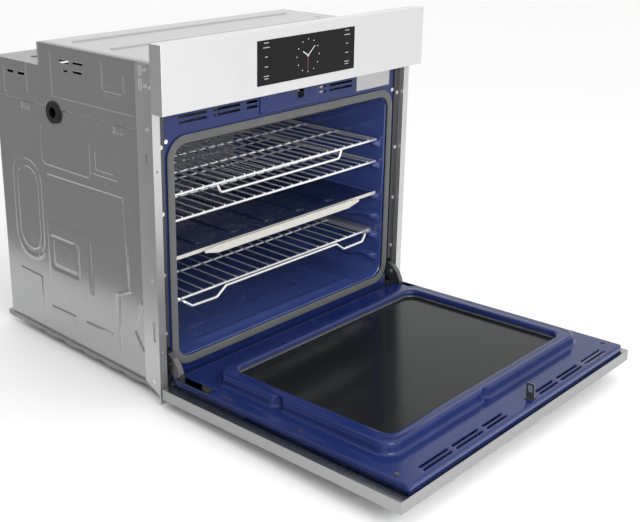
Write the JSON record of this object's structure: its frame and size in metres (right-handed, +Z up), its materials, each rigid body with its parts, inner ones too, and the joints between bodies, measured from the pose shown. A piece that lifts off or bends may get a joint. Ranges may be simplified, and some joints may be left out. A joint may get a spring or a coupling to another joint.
{
  "type": "built-in wall oven",
  "caption": "Single built-in wall oven with drop-down door, blue enamel cavity, wire racks, gliding rack, two convection fans and a touch control panel.",
  "frame": {"origin": "middle of the four cabinet screws, on the front plane of the side trims, 280 mm above the cabinet shelf", "axes": "+X to the right seen from the front, front faces -Y, +Z up"},
  "size_m": [0.756, 1.1608, 0.7065],
  "materials": {
    "galvanised": "galvanised sheet",
    "hood": "galvanised sheet",
    "rear": "galvanised sheet",
    "enamel": "gloss cobalt enamel",
    "dark_paint": "satin dark paint",
    "steel": "brushed",
    "panel": "fine brushed",
    "trim": "satin grey",
    "zinc": "bright zinc",
    "chrome": "bright",
    "gasket": "braided glass fibre",
    "wool": "mineral wool",
    "element": "oxidised sheath",
    "black_plastic": "matt",
    "black_glass": "tinted",
    "clear_glass": "clear",
    "pcb": "solder resist",
    "label": "blank foil",
    "divider": "enamelled",
    "cast": "cast"
  },
  "bodies": {
    "casing": {"side_panel_left": "galvanised", "side_panel_right": "galvanised", "rear_panel": "rear", "rear_lid": "galvanised", "hood": "hood", "base_pan": "galvanised", "component_deck": "galvanised", "front_frame": "enamel", "side_bands": "dark_paint", "side_trim_left": "trim", "side_trim_right": "trim", "hinge_receivers": "zinc", "hinge_arms": "zinc", "cavity_liner": "enamel", "door_gasket": "gasket", "insulation_wrap": "wool", "bake_element": "element", "broil_element": "element", "fan_cover_left": "enamel", "fan_cover_right": "enamel", "fan_motors": "cast", "fan_elements": "element", "lamps": "cast", "lamp_lenses": "clear_glass", "temperature_probe": "steel", "glide_base": "chrome", "panel_frame": "panel", "touch_glass": "black_glass", "display_module": "black_plastic", "control_board": "pcb", "panel_back": "galvanised", "panel_brackets": "zinc", "blower_housing": "galvanised", "blower_motor": "cast", "power_board": "pcb", "latch_motor": "black_plastic", "rating_plate": "label", "cable_grommet": "black_plastic", "terminal_cover": "galvanised", "casing_screws": "zinc"},
    "door": {"door_pan": "steel", "outer_glass": "black_glass", "handle_inserts": "zinc", "door_liner": "enamel", "inner_glass": "black_glass", "glass_seal": "gasket", "glass_spacer": "zinc", "mid_glass": "clear_glass", "door_insulation": "wool", "door_hinges": "zinc", "latch_strike": "steel", "door_screws": "zinc"},
    "upper_rack": {"rack_upper": "chrome"},
    "second_rack": {"rack_second": "chrome"},
    "divider": {"divider_shelf": "divider"},
    "gliding_rack": {"glide_rack": "chrome"},
    "fan_left": {"impeller_left": "steel"},
    "fan_right": {"impeller_right": "steel"},
    "blower": {"blower_wheel": "cast"},
    "latch": {"latch_bolt": "steel"}
  },
  "joints": [
    {"name": "door_hinge", "type": "hinge", "parent": "casing", "child": "door", "pos_m": [0, -0.0275, -0.2705], "axis": [1, 0, 0], "range_deg": [-87.86, 0]},
    {"name": "upper_rack_slide", "type": "slide", "parent": "casing", "child": "upper_rack", "axis": [0, -1, 0], "range_m": [0, 0.3]},
    {"name": "second_rack_slide", "type": "slide", "parent": "casing", "child": "second_rack", "axis": [0, -1, 0], "range_m": [0, 0.3]},
    {"name": "divider_slide", "type": "slide", "parent": "casing", "child": "divider", "axis": [0, -1, 0], "range_m": [0, 0.3]},
    {"name": "gliding_rack_slide", "type": "slide", "parent": "casing", "child": "gliding_rack", "axis": [0, -1, 0], "range_m": [0, 0.34]},
    {"name": "fan_left_spin", "type": "hinge", "parent": "casing", "child": "fan_left", "pos_m": [-0.145, 0.47, 0.02], "axis": [0, -1, 0], "continuous": true},
    {"name": "fan_right_spin", "type": "hinge", "parent": "casing", "child": "fan_right", "pos_m": [0.145, 0.47, 0.02], "axis": [0, -1, 0], "continuous": true},
    {"name": "blower_spin", "type": "hinge", "parent": "casing", "child": "blower", "pos_m": [-0.096, 0.13, 0.31], "axis": [1, 0, 0], "continuous": true},
    {"name": "latch_slide", "type": "slide", "parent": "casing", "child": "latch", "axis": [-1, 0, 0], "range_m": [0, 0.014]}
  ]
}
